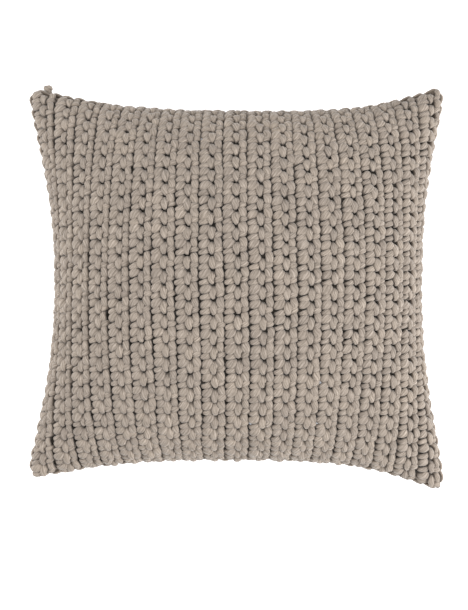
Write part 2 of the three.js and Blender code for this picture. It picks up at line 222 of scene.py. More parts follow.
def make_mesh(name, vertices, quads, caps=None, attributes=(), material=None):
    """An object from quads, and flat caps that all have one number of corners."""
    mesh = bpy.data.meshes.new(name)
    loops = [quads.ravel()]
    sizes = [np.full(len(quads), 4)]
    if caps is not None:
        loops.append(caps.ravel())
        sizes.append(np.full(len(caps), caps.shape[1]))
    loops = np.concatenate(loops).astype(np.int32)
    sizes = np.concatenate(sizes).astype(np.int32)
    starts = np.concatenate([[0], np.cumsum(sizes)[:-1]]).astype(np.int32)
    mesh.vertices.add(len(vertices))
    mesh.vertices.foreach_set("co", np.asarray(vertices, np.float32).ravel())
    mesh.loops.add(len(loops))
    mesh.loops.foreach_set("vertex_index", loops)
    mesh.polygons.add(len(sizes))
    mesh.polygons.foreach_set("loop_start", starts)
    mesh.update(calc_edges=True)
    mesh.validate()
    mesh.shade_smooth()
    for label, kind, values in attributes:
        attribute = mesh.attributes.new(label, kind, "POINT")
        field = "vector" if kind == "FLOAT_VECTOR" else "value"
        attribute.data.foreach_set(field, np.asarray(values, np.float32).ravel())
    if material:
        mesh.materials.append(material)
    obj = bpy.data.objects.new(name, mesh)
    bpy.context.scene.collection.objects.link(obj)
    return obj


def curve_weights(points, samples):
    """Weights that turn control points into samples of a smooth curve through them."""
    position = np.linspace(0, points - 1, samples)
    weights = np.zeros((samples, points))
    for row, at in enumerate(position):
        k = min(int(at), points - 2)
        f = at - k
        blend = (
            -0.5 * f + f * f - 0.5 * f**3,
            1 - 2.5 * f * f + 1.5 * f**3,
            0.5 * f + 2 * f * f - 1.5 * f**3,
            -0.5 * f * f + 0.5 * f**3,
        )
        for offset, weight in zip((-1, 0, 1, 2), blend):
            weights[row, min(max(k + offset, 0), points - 1)] += weight
    return weights


def press_clear_of_slider(vertices, side):
    """Presses a panel's yarn flat where it is in the slider's way along the zip.
    side is 1 in front, -1 behind."""
    low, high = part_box("zip_slider")
    opening = -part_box("zip_tape_front")[0][0]
    half = (high[2] - low[2]) / 2 + SLIDER_CLEARANCE
    beside = (np.abs(vertices[:, 0]) < opening) & (vertices[:, 1] < high[1] + SLIDER_CLEARANCE)
    in_way = beside & (side * (vertices[:, 2] - SEAM_Z) < half)
    vertices[in_way, 2] = SEAM_Z + side * half


class YarnBatch:
    """Collects yarn tubes and writes them as one mesh. A yarn of n strands has 2 n points round it."""

    def __init__(self, strands=STRANDS, groove=STRAND_GROOVE):
        self.sides = 2 * strands
        self.groove = groove
        self.parts = []

    def add(self, centre, side, width, height, shade, pitch=STRAND_PITCH):
        """centre and side are (tubes, samples, 3). width and height are half sizes, (tubes, samples)."""
        tubes, samples, _ = centre.shape
        along = unit(np.gradient(centre, axis=1))
        out = unit(np.cross(side, along))
        side = unit(np.cross(along, out))
        steps = np.linalg.norm(np.diff(centre, axis=1), axis=-1)
        length = np.concatenate([np.zeros((tubes, 1)), np.cumsum(steps, axis=1)], axis=1)
        strand = 2 * math.pi * np.arange(self.sides) / self.sides
        angle = strand + 2 * math.pi * length[..., None] / pitch
        ridge = np.arange(self.sides) % 2
        scale = 1 - self.groove * (1 - ridge)
        shape = (tubes, samples, self.sides)
        turns = (np.cos(angle), np.sin(angle))
        across, above = (np.sign(turn) * np.abs(turn) ** SECTION_POWER for turn in turns)
        offset_side = (across * scale * np.broadcast_to(width, shape[:2])[..., None])[..., None]
        offset_out = (above * scale * np.broadcast_to(height, shape[:2])[..., None])[..., None]
        vertices = centre[:, :, None] + offset_side * side[:, :, None] + offset_out * out[:, :, None]
        strand_at = np.stack([np.broadcast_to(values, shape) for values in (
            np.cos(strand), np.sin(strand), length[..., None] / STRAND_UNIT)], axis=-1)
        ridges = np.broadcast_to(ridge, shape).astype(float)
        shades = np.broadcast_to(np.reshape(shade, (-1, 1, 1)), shape)
        # The last array, the sine of the angle round the yarn, is how far each point faces out; the yarn
        # material paints shade by it as the crown attribute.
        self.parts.append((vertices, strand_at, ridges, shades, np.sin(angle)))

    def add_round(self, path, radius, guide, shade=0.5, pitch=STRAND_PITCH):
        """One round yarn along a path, (samples, 3). guide is never along the path."""
        path = np.asarray(path)[None]
        side = np.cross(np.gradient(path, axis=1), np.broadcast_to(guide, path.shape))
        self.add(path, unit(side), radius, radius, shade, pitch)

    def write(self, name, material, zip_side=0):
        vertices, quads, caps, strand_at, ridges, shades, crowns = [], [], [], [], [], [], []
        start = 0
        for part in self.parts:
            tubes, samples, sides = part[0].shape[:3]
            index = start + np.arange(tubes * samples * sides).reshape(tubes, samples, sides)
            turned = np.roll(index, -1, axis=2)
            quad = np.stack([index[:, :-1], turned[:, :-1], turned[:, 1:], index[:, 1:]], axis=-1)
            quads.append(quad.reshape(-1, 4))
            caps.append(index[:, 0, ::-1].reshape(-1, sides))
            caps.append(index[:, -1].reshape(-1, sides))
            start += index.size
            vertices.append(part[0].reshape(-1, 3))
            strand_at.append(part[1].reshape(-1, 3))
            ridges.append(part[2].ravel())
            shades.append(part[3].ravel())
            crowns.append(part[4].ravel())
        vertices = np.concatenate(vertices)
        vertices[:, 2] = np.maximum(vertices[:, 2], FLOOR_Z)
        if zip_side:
            press_clear_of_slider(vertices, zip_side)
        attributes = [
            ("strand", "FLOAT_VECTOR", np.concatenate(strand_at)),
            ("ridge", "FLOAT", np.concatenate(ridges)),
            ("shade", "FLOAT", np.concatenate(shades)),
            ("crown", "FLOAT", np.concatenate(crowns)),
        ]
        return make_mesh(name, vertices, np.concatenate(quads), np.concatenate(caps), attributes, material)


def place(piece, slot, *replaced, body=PILLOW):
    """Says what a piece rides on and the CAD nodes it stands for. slot is not used."""
    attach(piece, body)
    if replaced:
        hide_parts(*replaced)
    return piece


# ---- Materials ----

def new_material(name, color, roughness, metallic=0.0):
    material = bpy.data.materials.new(name)
    material.use_nodes = True
    tree = material.node_tree
    shader = tree.nodes["Principled BSDF"]
    shader.inputs["Base Color"].default_value = (*color, 1)
    shader.inputs["Roughness"].default_value = roughness
    shader.inputs["Metallic"].default_value = metallic
    return material, tree, shader


def node(tree, kind, inputs=None, **settings):
    made = tree.nodes.new(kind)
    for key, value in settings.items():
        setattr(made, key, value)
    for key, value in (inputs or {}).items():
        if isinstance(value, bpy.types.NodeSocket):
            tree.links.new(value, made.inputs[key])
        else:
            made.inputs[key].default_value = value
    return made


def attribute(tree, name, output="Fac"):
    return node(tree, "ShaderNodeAttribute", attribute_name=name).outputs[output]


def object_place(tree):
    return node(tree, "ShaderNodeTexCoord").outputs["Object"]


def noise(tree, at, scale, detail=2.0):
    return node(tree, "ShaderNodeTexNoise", {"Vector": at, "Scale": scale, "Detail": detail}).outputs["Fac"]


def ramp(tree, value, stops):
    made = node(tree, "ShaderNodeValToRGB", {"Fac": value})
    elements = made.color_ramp.elements
    while len(elements) < len(stops):
        elements.new(0.5)
    for element, (position, color) in zip(elements, stops):
        element.position = position
        element.color = (*color, 1)
    return made.outputs["Color"]


def multiplied(tree, first, second):
    """Two colours multiplied."""
    return node(tree, "ShaderNodeMix", {"Factor": 1.0, 6: first, 7: second}, data_type="RGBA",
                blend_type="MULTIPLY").outputs[2]


def add_bump(tree, shader, height, distance, strength=0.6):
    bump = node(tree, "ShaderNodeBump", {"Strength": strength, "Distance": distance, "Height": height})
    tree.links.new(bump.outputs["Normal"], shader.inputs["Normal"])


def yarn_material():
    """Bulky taupe yarn: streaks of fibre that follow the strands, with a soft halo, painted shade in the
    grooves between strands and painted shade down the sides of each yarn.
    """
    material, tree, shader = new_material("yarn", (0.33, 0.28, 0.23), 0.92)
    strand = attribute(tree, "strand", "Vector")
    ridge = attribute(tree, "ridge")
    shade = attribute(tree, "shade")
    lengthwise = node(tree, "ShaderNodeVectorMath", {0: strand, 1: (2.3, 2.3, 0.55)}, operation="MULTIPLY")
    offset = node(tree, "ShaderNodeMath", {0: shade, 1: 37.0}, operation="MULTIPLY").outputs[0]
    shifted = node(tree, "ShaderNodeCombineXYZ", {"Z": offset}).outputs[0]
    at = node(tree, "ShaderNodeVectorMath", {0: lengthwise.outputs[0], 1: shifted}).outputs[0]
    fibres = node(tree, "ShaderNodeTexNoise", {"Vector": at, "Scale": 2.5, "Detail": 3.0, "Roughness": 0.75})
    streaks = fibres.outputs["Fac"]
    base = ramp(tree, streaks, [(0.28, (0.160, 0.134, 0.110)), (0.50, (0.308, 0.260, 0.218)),
                                (0.72, (0.500, 0.432, 0.372))])
    tint = ramp(tree, shade, [(0.0, (0.86, 0.86, 0.87)), (0.5, (1.0, 1.0, 1.0)), (1.0, (1.12, 1.11, 1.09))])
    # Painted shade: the valleys between the strands are darker, by the ridge attribute.
    groove = ramp(tree, ridge, [(0.0, (0.72, 0.70, 0.68)), (0.6, (1.0, 1.0, 1.0))])
    # Painted shade: each yarn is darkened down its sides and underside, where the yarns meet, by how far
    # each point faces out.
    crown = attribute(tree, "crown")
    painted_side_shade = ramp(tree, crown, [(0.0, (0.38, 0.36, 0.34)), (0.30, (0.70, 0.68, 0.66)),
                                (0.60, (1.0, 1.0, 1.0))])
    color = multiplied(tree, multiplied(tree, multiplied(tree, base, tint), groove), painted_side_shade)
    tree.links.new(color, shader.inputs["Base Color"])
    add_bump(tree, shader, streaks, 0.0006)
    shader.inputs["Sheen Weight"].default_value = 0.25
    shader.inputs["Sheen Roughness"].default_value = 0.5
    shader.inputs["Specular IOR Level"].default_value = 0.2
    return material


def spotted_material(name, scale, stops, roughness, distance):
    """A surface of small round shapes, with painted shade between them."""
    material, tree, shader = new_material(name, stops[0][1], roughness)
    at = object_place(tree)
    loops = node(tree, "ShaderNodeTexVoronoi", {"Vector": at, "Scale": scale}).outputs["Distance"]
    # Painted shade: darker towards the edge of each round shape, where the bump falls away.
    tree.links.new(ramp(tree, loops, stops), shader.inputs["Base Color"])
    add_bump(tree, shader, loops, distance)
    return material


def woven_material(name, light, dark, threads, roughness, sheen=0.1):
    """A plain weave, worked out from the place in the object, with painted shade where the threads dip and
    random tone from slubs. threads is their number in a metre.
    """
    material, tree, shader = new_material(name, light, roughness)
    at = object_place(tree)
    parts = node(tree, "ShaderNodeSeparateXYZ", {"Vector": at})
    lengths = node(tree, "ShaderNodeMath", {0: parts.outputs["Y"], 1: parts.outputs["Z"]}).outputs[0]
    waves = []
    for value in (parts.outputs["X"], lengths):
        scaled = node(tree, "ShaderNodeMath", {0: value, 1: threads * math.pi}, operation="MULTIPLY")
        waves.append(node(tree, "ShaderNodeMath", {0: scaled.outputs[0]}, operation="SINE").outputs[0])
    weave = node(tree, "ShaderNodeMath", {0: waves[0], 1: waves[1]}, operation="MULTIPLY").outputs[0]
    height = node(tree, "ShaderNodeMapRange", {0: weave, 1: -1.0, 2: 1.0}).outputs[0]
    slub = noise(tree, at, 160.0)
    mixed = node(tree, "ShaderNodeMath", {0: height, 1: slub}, operation="MULTIPLY").outputs[0]
    # Painted shade: the colour darkens where the weave dips, mixed with random tone from slubs.
    tree.links.new(ramp(tree, mixed, [(0.05, dark), (0.45, light)]), shader.inputs["Base Color"])
    add_bump(tree, shader, height, 0.0002)
    shader.inputs["Sheen Weight"].default_value = sheen
    return material


def thread_material(name, light, dark):
    """Twisted thread: diagonal plies along the strand coordinates."""
    material, tree, shader = new_material(name, light, 0.7)
    strand = attribute(tree, "strand", "Vector")
    fibres = noise(tree, strand, 3.0)
    tree.links.new(ramp(tree, fibres, [(0.35, dark), (0.65, light)]), shader.inputs["Base Color"])
    add_bump(tree, shader, fibres, 0.0001)
    return material


def nylon_material():
    material, tree, shader = new_material("zip_nylon", (0.30, 0.26, 0.21), 0.35)
    at = object_place(tree)
    haze = noise(tree, at, 400.0)
    stops = [(0.3, (0.26, 0.22, 0.18)), (0.7, (0.36, 0.31, 0.26))]
    tree.links.new(ramp(tree, haze, stops), shader.inputs["Base Color"])
    add_bump(tree, shader, haze, 0.00005)
    return material


def metal_material():
    """Satin nickel with fine brushing along X and light wear."""
    material, tree, shader = new_material("zip_metal", (0.50, 0.48, 0.45), 0.38, 1.0)
    at = object_place(tree)
    stretched = node(tree, "ShaderNodeVectorMath", {0: at, 1: (0.1, 1.0, 1.0)}, operation="MULTIPLY")
    brushing = noise(tree, stretched.outputs[0], 9000.0)
    wear = noise(tree, at, 700.0, 3.0)
    stops = [(0.35, (0.38, 0.36, 0.335)), (0.65, (0.54, 0.52, 0.49))]
    tree.links.new(ramp(tree, wear, stops), shader.inputs["Base Color"])
    rough = node(tree, "ShaderNodeMapRange", {0: brushing, 3: 0.28, 4: 0.48}).outputs[0]
    tree.links.new(rough, shader.inputs["Roughness"])
    add_bump(tree, shader, brushing, 0.00002)
    return material


# ---- The crochet panels ----

# One stitch of one rib, seen from outside: place across the rib (0 to 1), place down the stitch (0 to 1) and
# height over the cloth's outer face in millimetres, then half width and half height at the same points.
FRONT_BAR = {
    "line": [(0.035, 0.985, -8.5), (0.09, 0.965, -4.4), (0.20, 0.91, -2.9), (0.32, 0.84, -3.2),
             (0.44, 0.76, -6.0)],
    "width": (2.4, 2.8, 3.3, 3.7, 3.4),
    "height": (2.4, 2.9, 3.0, 2.9, 2.4),
    "samples": 12,
}
SLANTED_LEG = {
    "line": [(0.035, 0.55, -8.5), (0.10, 0.485, -4.3), (0.21, 0.40, -2.8), (0.32, 0.30, -2.9),
             (0.41, 0.20, -6.5)],
    "width": (3.5, 4.3, 5.2, 5.2, 3.6),
    "height": (2.4, 2.9, 3.0, 3.0, 2.4),
    "samples": 12,
}
TOP_LOOP = {
    "line": [(0.585, 0.31, -11.0), (0.58, 0.36, -5.6), (0.555, 0.49, -3.3), (0.525, 0.64, -2.1),
             (0.53, 0.82, -1.7), (0.545, 0.93, -3.0), (0.55, 0.975, -8.0)],
    "width": (2.8, 4.1, 4.6, 4.2, 3.4, 2.4, 1.6),
    "height": (1.8, 2.4, 2.9, 3.1, 3.1, 2.8, 2.0),
    "samples": 17,
}
SIDE_UPPER = {
    "line": [(0.78, -0.03, -8.5), (0.79, 0.04, -4.2), (0.81, 0.19, -2.8), (0.83, 0.36, -2.8),
             (0.82, 0.50, -4.4), (0.79, 0.59, -8.0)],
    "width": (3.3, 3.8, 4.1, 4.1, 3.6, 2.9),
    "height": (2.2, 2.8, 3.0, 3.0, 2.8, 2.2),
    "samples": 14,
}
SIDE_LOWER = {
    "line": [(0.63, 0.83, -8.0), (0.69, 0.79, -4.2), (0.78, 0.745, -3.0), (0.87, 0.71, -3.8),
             (0.93, 0.66, -8.0)],
    "width": (2.5, 3.2, 3.5, 3.3, 2.6),
    "height": (2.2, 2.8, 3.0, 2.8, 2.2),
    "samples": 12,
}
STITCH = (FRONT_BAR, SLANTED_LEG, TOP_LOOP, SIDE_UPPER, SIDE_LOWER)
SLIT = (0.07, 0.72)  # the open place between a leg and the bar below it, across the rib and down the stitch


def rib_phases(rng):
    """How far each rib's stitches are shifted down, as a share of a stitch."""
    phase = np.cumsum(rng.normal(0, PHASE_STEP, RIBS))
    return phase - np.linspace(phase[0], phase[-1], RIBS)


def on_cloth(rib, row, across, down, phase):
    """Places on the cloth's map from -1 to 1. across and down are shares of a rib and a stitch."""
    drift = sum(size * np.sin(row * a_stitch + rib * a_rib) for size, a_stitch, a_rib in DRIFTS)
    even = 2 * (rib + across + drift) / RIBS - 1
    t = np.clip(1 - 2 * (row + down + phase) / STITCHES, -1.01, 1.01)
    s = even * (1 + (MIDDLE_STRETCH - CORNER_DRAW * t * t * np.abs(even)) * (1 - even * even))
    return s, t


def jittered(rng, values, count, whole, each):
    """The values for every stitch, each stitch moved as a whole and each point moved a little."""
    return values + rng.normal(0, whole, (count, 1)) + rng.normal(0, each, (count, len(values)))


def stitch_yarns(batches, surface, phase, rng):
    """Lays every stitch of a panel, and adds each rib's yarns to its own batch."""
    rib = np.repeat(np.arange(RIBS), STITCHES)
    row = np.tile(np.arange(STITCHES), RIBS)
    count = len(rib)
    shade_of_stitch = rng.normal(0, STITCH_SHADE_JITTER, count)
    for loop in STITCH:
        line = np.array(loop["line"])
        weights = curve_weights(len(line), loop["samples"])
        across = jittered(rng, line[:, 0], count, *ACROSS_JITTER) @ weights.T
        down = jittered(rng, line[:, 1], count, *DOWN_JITTER) @ weights.T
        height = (line[:, 2] * MM + rng.normal(0, HEIGHT_JITTER, (count, 1))) @ weights.T
        size = 1 + rng.normal(0, SIZE_JITTER, (count, 1))
        width = (np.array(loop["width"]) @ weights.T) * MM * size
        thick = (np.array(loop["height"]) @ weights.T) * MM * size
        s, t = on_cloth(rib[:, None], row[:, None], across, down, phase[rib][:, None])
        point, right, up, out = surface.at(s, t)
        centre = point + out * height[..., None]
        step_right = np.gradient(across * RIB_WIDTH, axis=1)[..., None]
        step_up = -np.gradient(down * STITCH_LENGTH, axis=1)[..., None]
        side = unit(right * step_up - up * step_right)
        width = width * (1 - OUTER_NARROWING * s * s)
        shade = np.clip(0.5 + shade_of_stitch + rng.normal(0, LOOP_SHADE_JITTER, count), 0, 1)
        for k in range(RIBS):
            mine = slice(k * STITCHES, (k + 1) * STITCHES)
            batches[k].add(centre[mine], side[mine], width[mine], thick[mine], shade[mine])


def crochet_panel(label, surface, phase, yarn, shade_backing, rng):
    """The ribs of a panel, each a piece, on a thin inner sheet under their yarns, dark with painted shade
    for the holes between the stitches.
    """
    panel = f"{label}_panel"
    batches = [YarnBatch() for _ in range(RIBS)]
    stitch_yarns(batches, surface, phase, rng)
    ribs = [place(batch.write(f"{label}_rib_{k + 1:02d}", yarn, surface.side), "yarn", panel)
            for k, batch in enumerate(batches)]
    line = np.linspace(-1, 1, BACKING_POINTS)
    point, _, _, out = surface.at(*np.meshgrid(line, line, indexing="ij"))
    inner = shell_piece(f"{label}_backing", point - out * BACKING_DEPTH, out, BACKING_THICKNESS, shade_backing)
    place(inner, "yarn", panel)


def shell_piece(name, point, out, thickness, material):
    """A thin closed shell inside a grid of points."""
    rows, columns = point.shape[:2]
    count = rows * columns
    index = np.arange(count).reshape(rows, columns)
    quad = np.stack([index[:-1, :-1], index[1:, :-1], index[1:, 1:], index[:-1, 1:]], axis=-1).reshape(-1, 4)
    edge = np.concatenate([index[:-1, 0], index[-1, :-1], index[:0:-1, -1], index[0, :0:-1]])
    after = np.roll(edge, -1)
    rim = np.stack([edge, edge + count, after + count, after], axis=-1)
    quads = np.concatenate([quad, quad[:, ::-1] + count, rim])
    vertices = np.concatenate([point.reshape(-1, 3), (point - out * thickness).reshape(-1, 3)])
    return make_mesh(name, vertices, quads, material=material)


# ---- The joined edges ----

LINK_PITCH = 0.0135  # from one link of the joining chain to the next
CHAIN_TRIM = 0.0045  # from an end of the zip's tape to the first link, clear of the pull
# Half of a link: place along it (0 to 1), offset from the seam plane and height over the outline in mm.
LINK_LINE = [(-0.12, 0.8, -7.5), (0.06, 1.8, -4.0), (0.38, 3.6, -1.9), (0.70, 4.8, -1.8), (0.94, 4.4, -4.4),
             (1.04, 3.0, -8.0)]
LINK_WIDTH = (1.8, 2.7, 3.3, 3.5, 3.0, 2.0)
LINK_HEIGHT = (1.8, 2.4, 2.8, 2.9, 2.5, 2.0)
LINK_SAMPLES = 13
LINK_JITTER = (0.05, 0.02)  # of a whole half link and of each of its points, in links
SPREAD_JITTER = 0.25  # in millimetres
RISE_JITTER = 0.3  # in millimetres
EDGE_SAMPLES = 400
SHORT_WAY = 0.002  # along an edge from -1 to 1, to read its direction at a place
CHAIN_END = 0.985  # where the chains end beside a corner, from the middle at 0 to the corner at 1
ROW_SPREAD = 0.0055  # between the rows that the chain is worked through
ROW_INSET = 0.0085
ROW_RADIUS = 0.0033
ROW_SAMPLES = 90
OPENING_SHIFT = 0.0052  # of an opening's edge from the seam plane
OPENING_SIZE = 0.8  # of its links against the joining chain's


def link_yarns(batch, edge, start, end, rng, sides=(-1, 1), shift=0.0, size=1.0):
    """Chain links along an edge. Each is two loops that part from the seam plane, or one of them."""
    points, _, _ = edge_line(edge, 0.0, start, end, EDGE_SAMPLES)
    steps = np.linalg.norm(np.diff(points, axis=0), axis=-1)
    total = steps.sum()
    count = max(1, round(total / LINK_PITCH))
    length = np.concatenate([[0], np.cumsum(steps)]) / total
    line = np.array(LINK_LINE)
    weights = curve_weights(len(line), LINK_SAMPLES)
    for k in range(count):
        for side in sides:
            knots = jittered(rng, line[:, 0], 1, *LINK_JITTER)[0]
            where = np.interp((k + knots @ weights.T) / count, length, np.linspace(start, end, EDGE_SAMPLES))
            spread = side * ((line[:, 1] + rng.normal(0, SPREAD_JITTER)) @ weights.T * MM * size + shift)
            height = (line[:, 2] + rng.normal(0, RISE_JITTER)) @ weights.T * MM
            at = [edge_line(edge, -h, w - SHORT_WAY, w + SHORT_WAY, 3) for h, w in zip(height, where)]
            centre = np.array([points[1] for points, _, _ in at]) + np.array([0, 0, 1]) * spread[:, None]
            outward = np.array([out[1] for _, _, out in at])
            across = np.cross(np.gradient(centre, axis=0), outward)
            width = (np.array(LINK_WIDTH) @ weights.T) * MM * size
            thick = (np.array(LINK_HEIGHT) @ weights.T) * MM * size
            batch.add(centre[None], unit(across)[None], width, thick, np.clip(rng.normal(0.5, 0.15), 0, 1))


def joining_chain(name, edge, start, end, yarn, rng):
    """The chain that joins front and back, over the three rows that it is worked through."""
    batch = YarnBatch()
    link_yarns(batch, edge, start, end, rng)
    for offset in (-ROW_SPREAD, 0.0, ROW_SPREAD):
        inner, _, outward = edge_line(edge, ROW_INSET, start, end, ROW_SAMPLES, SEAM_Z + offset)
        batch.add_round(inner, ROW_RADIUS, outward, rng.uniform(0.2, 0.5))
    place(batch.write(f"{name}_links", yarn), "yarn", name)


def build_joining_chains(yarn, rng):
    zip_end = (CHAIN_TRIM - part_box("zip_tape_front")[0][0]) / HALF_WIDTH
    for edge in ("left", "right", "top"):
        joining_chain(f"seam_chain_{edge}", edge, -CHAIN_END, CHAIN_END, yarn, rng)
    joining_chain("seam_chain_bottom_left", "bottom", -CHAIN_END, -zip_end, yarn, rng)
    joining_chain("seam_chain_bottom_right", "bottom", zip_end, CHAIN_END, yarn, rng)


def opening_edge(label, side, yarn, rng):
    """The last row of a panel along the zip's opening."""
    half = -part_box("zip_tape_front")[0][0] / HALF_WIDTH
    batch = YarnBatch()
    link_yarns(batch, "bottom", -half, half, rng, sides=(side,), shift=OPENING_SHIFT, size=OPENING_SIZE)
    place(batch.write(f"{label}_opening_edge", yarn), "yarn", f"{label}_panel")


KNOT_OFFSET = (-0.001, -0.0025, 0.001)  # from the middle of the CAD knot
KNOT_SCALE = 0.0010
KNOT_RADIUS = 0.0023  # of its yarn
KNOT_PITCH = 0.02
NEVER_ZERO = (0.0001, 0.0002, 0.0003)  # keeps a guide direction from vanishing
NECK_REACH = (0.002, -0.009, -0.001)
NECK_RADIUS = 0.0032


def yarn_knot(yarn):
    """The fastened-off yarn end, an overhand knot drawn tight, on a neck that comes out of the edge."""
    low, high = (np.array(c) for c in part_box("yarn_end_knot"))
    centre = (low + high) / 2 + np.array(KNOT_OFFSET)
    turn = np.linspace(0, 2 * math.pi, 73)
    loop = np.stack([np.sin(turn) + 2 * np.sin(2 * turn), -np.sin(3 * turn),
                     np.cos(turn) - 2 * np.cos(2 * turn)], axis=-1)
    path = centre + loop * KNOT_SCALE
    batch = YarnBatch()
    batch.add_round(path, KNOT_RADIUS, path - centre + NEVER_ZERO, 0.45, pitch=KNOT_PITCH)
    neck = np.linspace(0, 1, 8)[:, None]
    stem = centre * (1 - neck) + (centre + np.array(NECK_REACH)) * neck
    batch.add_round(stem, NECK_RADIUS, (0, 0, 1), 0.4)
    place(batch.write("yarn_end_knot_wound", yarn), "yarn", "yarn_end_knot")


# ---- The insert ----

INSERT_STEPS = 73  # points each way in a half of the insert
CASING_DEPTH = 0.0108
CASING_INSET = 0.0165
CASING_THICKNESS = 0.0011
CASING_LIFT = 0.0004  # of each half from the seam plane
CASING_TAPER = 0.01  # height over the seam plane within which the cloth thins to the seam
SWELL = 0.0022  # the most that the simulated casing may move
PRESSURE = 4
SIMULATED_FRAMES = 20
THROUGH_DEPTH = 0.0032  # from the cover's outer face to the casing where it shows through
THROUGH_WIDTH = 0.0042  # half the width of the place
THROUGH_REACH = 0.02  # only cloth nearer than this is pushed
FILL_GAP = 0.001  # between the casing and the fill
LUMP_DEPTH = 0.018  # of the fill's lumps, as a share of its size
LUMP_TAPER = 0.02  # height over the seam plane within which the lumps fade
OVERLOCK_INSET = 0.0125
OVERLOCK_CORE = 0.0008  # radius of the seam allowance inside the winding
OVERLOCK_PITCH = 0.0032
OVERLOCK_RADIUS = 0.0011  # of the winding
OVERLOCK_THREAD = 0.00032
OVERLOCK_SAMPLES = 10  # in a turn
CLOSING_INSET = 0.0102
CLOSING_STITCH = (0.0004, 0.005, 0.0015)  # radius, length and gap
DASH_SAMPLES = 9  # along one stitch


def pillow_grids(inset, depth):
    """Front and back grids of a closed form. Both run the same way in X and Y, and share their outline."""
    front = Surface(inset=inset, depth=depth, rim=0.0, count=INSERT_STEPS).point
    back = Surface(back=True, inset=inset, depth=depth, rim=0.0, count=INSERT_STEPS).point[::-1]
    for grid in (front, back):
        for edge in (np.s_[0, :], np.s_[-1, :], np.s_[:, 0], np.s_[:, -1]):
            grid[edge] = np.append(front[edge][:, :2], np.full((INSERT_STEPS, 1), SEAM_Z), axis=1)
    return front, back


def closed_form(front, back):
    """Vertices and quads of two grids that share their outline, and where the back's points went."""
    count = INSERT_STEPS * INSERT_STEPS
    index = np.arange(count).reshape(INSERT_STEPS, INSERT_STEPS)
    back_index = index.copy()
    inner = (INSERT_STEPS - 2) ** 2
    back_index[1:-1, 1:-1] = count + np.arange(inner).reshape(INSERT_STEPS - 2, -1)
    vertices = np.concatenate([front.reshape(-1, 3), back[1:-1, 1:-1].reshape(-1, 3)])
    quads = []
    for grid, turn in ((index, 1), (back_index, -1)):
        quad = np.stack([grid[:-1, :-1], grid[1:, :-1], grid[1:, 1:], grid[:-1, 1:]], axis=-1)
        quads.append(quad.reshape(-1, 4)[:, ::turn])
    return vertices, np.concatenate(quads), index, back_index


def inflated(vertices, quads):
    """The form after a short cloth simulation under the pressure of its filling."""
    scene = bpy.context.scene
    piece = make_mesh("casing_simulation", vertices, quads)
    cloth = piece.modifiers.new("Cloth", "CLOTH")
    cloth.settings.use_pressure = True
    cloth.settings.uniform_pressure_force = PRESSURE
    cloth.settings.effector_weights.gravity = 0
    for step in range(1, SIMULATED_FRAMES + 1):
        scene.frame_set(step)
    shown = piece.evaluated_get(bpy.context.evaluated_depsgraph_get())
    moved = np.zeros(len(vertices) * 3, np.float32)
    shown.data.vertices.foreach_get("co", moved)
    scene.frame_set(1)
    mesh = piece.data
    bpy.data.objects.remove(piece)
    bpy.data.meshes.remove(mesh)
    change = moved.reshape(-1, 3) - vertices
    size = np.linalg.norm(change, axis=-1, keepdims=True)
    return vertices + change * np.minimum(1, SWELL / np.maximum(size, 1e-9))


def refined(grid):
    """A grid with a point between each two of its points."""
    for _ in range(2):
        between = (grid[:-1] + grid[1:]) / 2
        longer = np.empty((2 * len(grid) - 1, *grid.shape[1:]))
        longer[::2], longer[1::2] = grid, between
        grid = np.swapaxes(longer, 0, 1)
    return grid


def show_through(point, front, phase):
    """Pushes the casing out through the loose stitches of the front."""
    for rib, row in LOOSE_STITCHES:
        s, t = on_cloth(rib, row, SLIT[0], SLIT[1], phase[rib])
        target, _, _, facing = front.at(np.array([s]), np.array([t]))
        middle = target[0] - facing[0] * THROUGH_DEPTH
        away = point - middle
        reach = -np.sum(away * facing[0], axis=-1, keepdims=True)
        beside = np.linalg.norm(away + facing[0] * reach, axis=-1, keepdims=True)
        pull = np.exp(-((beside / THROUGH_WIDTH) ** 4)) * (np.abs(reach) < THROUGH_REACH)
        point = point + facing[0] * pull * reach
    return point


def build_casing(cloth, front, phase):
    """The two sewn halves of the insert's casing."""
    vertices, quads, index, back_index = closed_form(*pillow_grids(CASING_INSET, CASING_DEPTH))
    vertices = inflated(vertices, quads)
    for label, grid, turn in (("front", index, 1), ("back", back_index, -1)):
        point = refined(vertices[grid])
        point[..., 2] += turn * CASING_LIFT
        out = turn * unit(np.cross(np.gradient(point, axis=0), np.gradient(point, axis=1)))
        if label == "front":
            point = show_through(point, front, phase)
        if turn < 0:
            point, out = point[::-1], out[::-1]
        inner = out * np.clip(np.abs(point[..., 2:] - SEAM_Z) / CASING_TAPER, 0.1, 1)
        casing = f"insert_casing_{label}"
        shell = shell_piece(f"{casing}_cloth", point, inner, CASING_THICKNESS, cloth)
        piece = place(shell, "insert_cloth", casing)


def build_fill(fibre):
    """Lumps of polyester fibre."""
    depth = CASING_DEPTH + CASING_THICKNESS + SWELL + FILL_GAP
    vertices, quads, _, _ = closed_form(*pillow_grids(CASING_INSET + depth - CASING_DEPTH, depth))
    x, y, z = vertices.T
    lumps = np.sin(x * 210 + 1.3 * np.sin(y * 160)) * np.sin(y * 190 + 1.7 * np.sin(x * 140 + z * 90))
    taper = np.clip(np.abs(z - SEAM_Z) / LUMP_TAPER, 0, 1)
    inward = 1 - LUMP_DEPTH * (1 - lumps)[:, None] * taper[:, None]
    centre = np.array([0, 0, SEAM_Z])
    piece = make_mesh("insert_fill_fibre", centre + (vertices - centre) * inward, quads, material=fibre)
    place(piece, "fill", "insert_fill")


def lengths_along(points):
    """The length of a line from its start to each of its points."""
    return np.concatenate([[0], np.cumsum(np.linalg.norm(np.diff(points, axis=0), axis=-1))])


